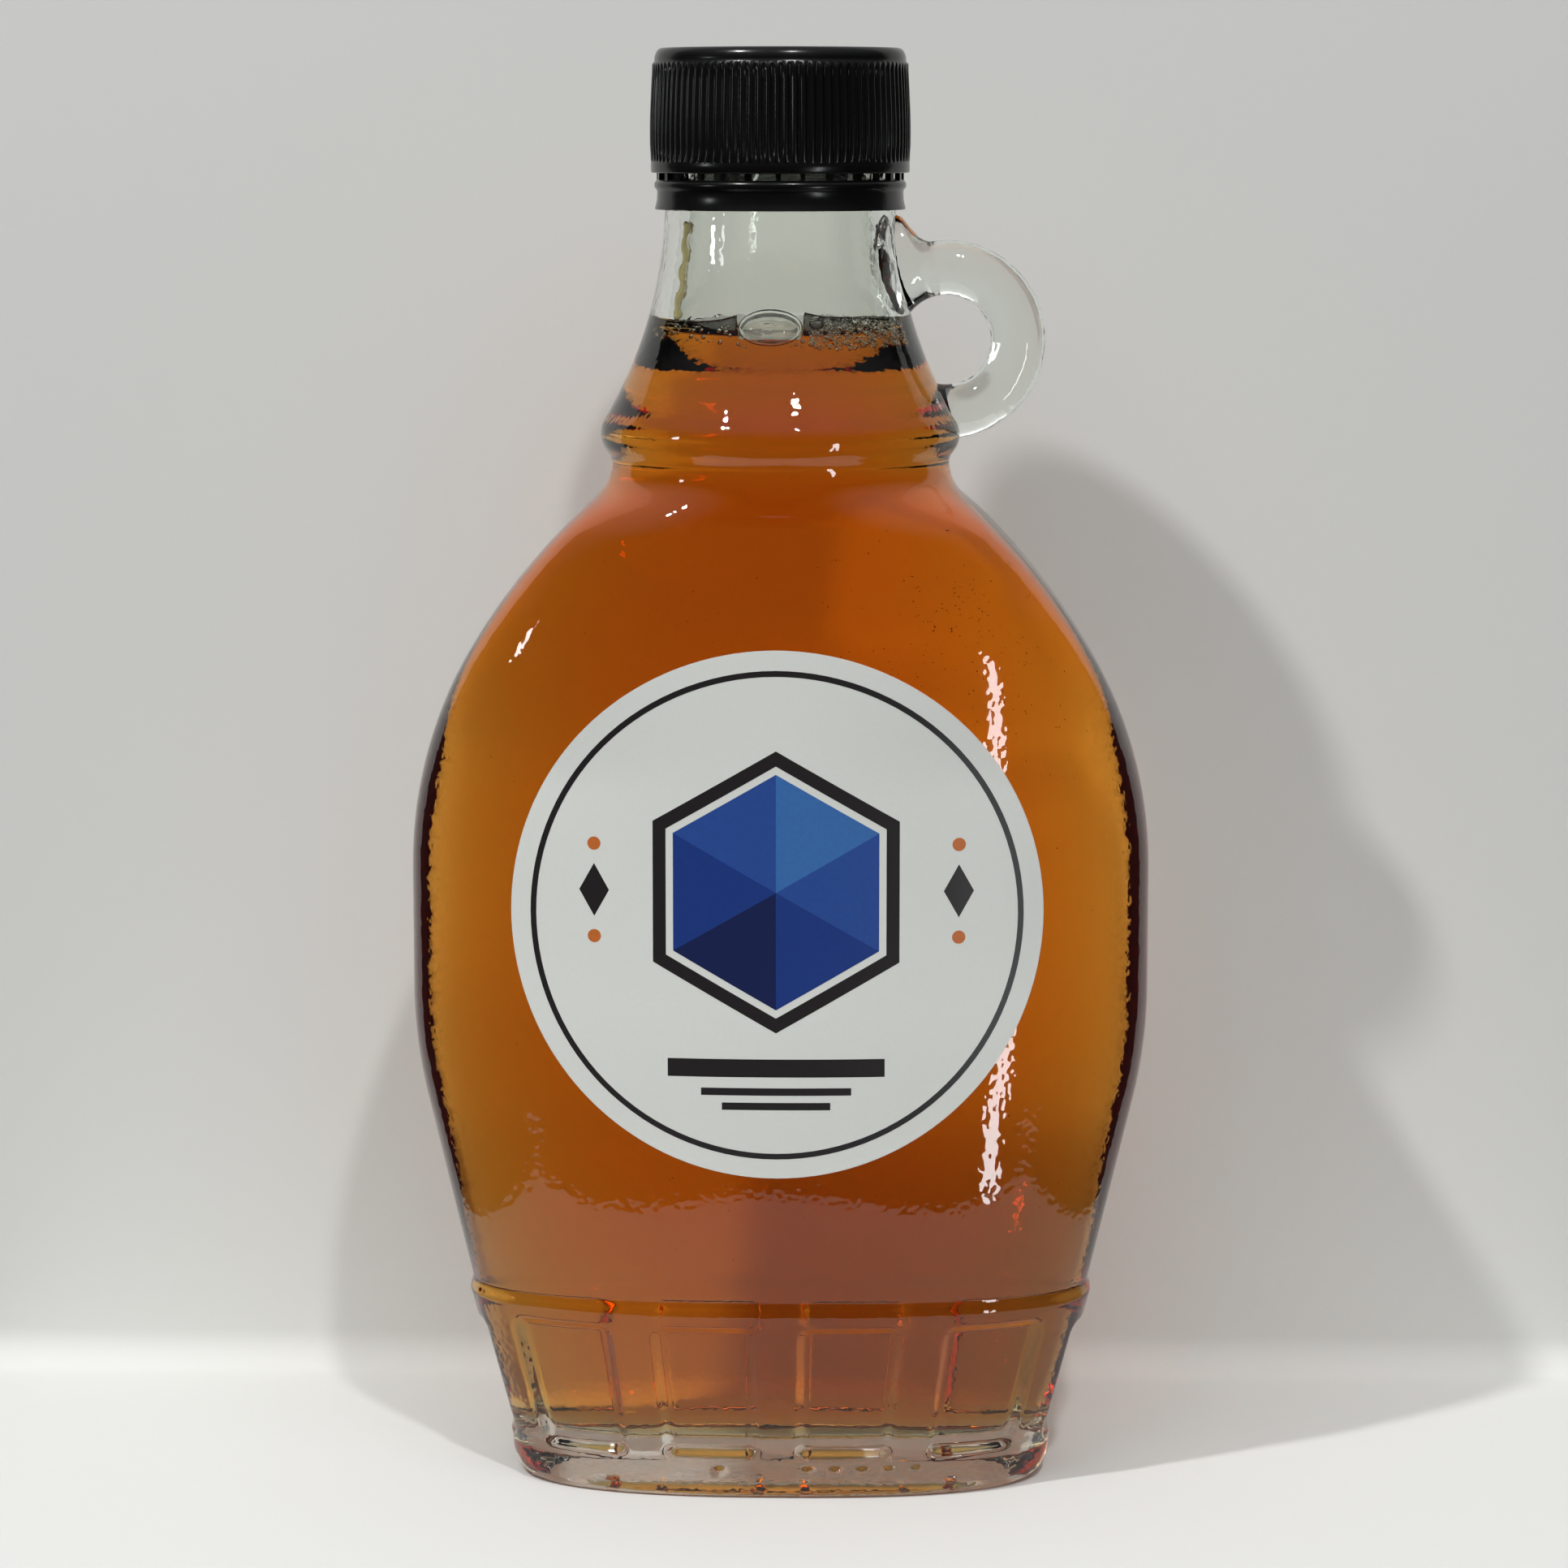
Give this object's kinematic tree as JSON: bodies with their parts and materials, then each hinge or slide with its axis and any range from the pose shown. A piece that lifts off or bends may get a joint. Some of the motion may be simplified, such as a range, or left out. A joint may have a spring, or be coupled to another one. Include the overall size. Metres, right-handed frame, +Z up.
{
  "type": "maple syrup bottle",
  "caption": "Handled glass flask of maple syrup with a ribbed black screw cap, tamper band and round paper label.",
  "frame": {"origin": "middle of the footprint on the surface the bottle stands on", "axes": "+Z up along the neck; -Y is the labelled front face; +X is the side with the ring handle"},
  "size_m": [0.0908, 0.0438, 0.1759],
  "materials": {
    "clear_glass": "clear flint glass, fire polished, faintly green where thick",
    "syrup": "clear dark amber liquid",
    "label_paper": "satin white label paper with printed fields of blue and black",
    "cap_plastic": "black moulded plastic, satin to glossy"
  },
  "bodies": {
    "root": {"bottle": "clear_glass", "syrup": "syrup", "label": "label_paper", "cap": "cap_plastic", "tamper_band": "cap_plastic"}
  },
  "joints": []
}
